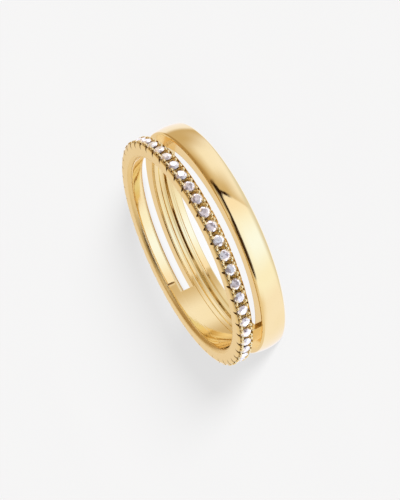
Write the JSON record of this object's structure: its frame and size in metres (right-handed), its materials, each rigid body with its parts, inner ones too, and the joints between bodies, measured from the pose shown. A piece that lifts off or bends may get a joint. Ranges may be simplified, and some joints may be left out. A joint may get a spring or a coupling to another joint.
{
  "type": "double ring",
  "caption": "Finger ring with a narrow stone-set band and a wider plain domed band, one metal casting with an open slot between them and a bridge at the back.",
  "frame": {"origin": "on the axis of the finger hole, at the plain band's outer side face, on which the ring lies", "axes": "+Z along the finger hole from the plain band towards the stone band; +Y towards the middle of the bridge that joins the two bands; the ring lies on its side with -Z down"},
  "size_m": [0.0204, 0.0204, 0.0044],
  "materials": {
    "polished_gold": "mirror polish on gold-plated metal",
    "clear_stone": "faceted, clear"
  },
  "bodies": {
    "root": {"double_band": "polished_gold", "stone_row": "clear_stone"}
  },
  "joints": []
}
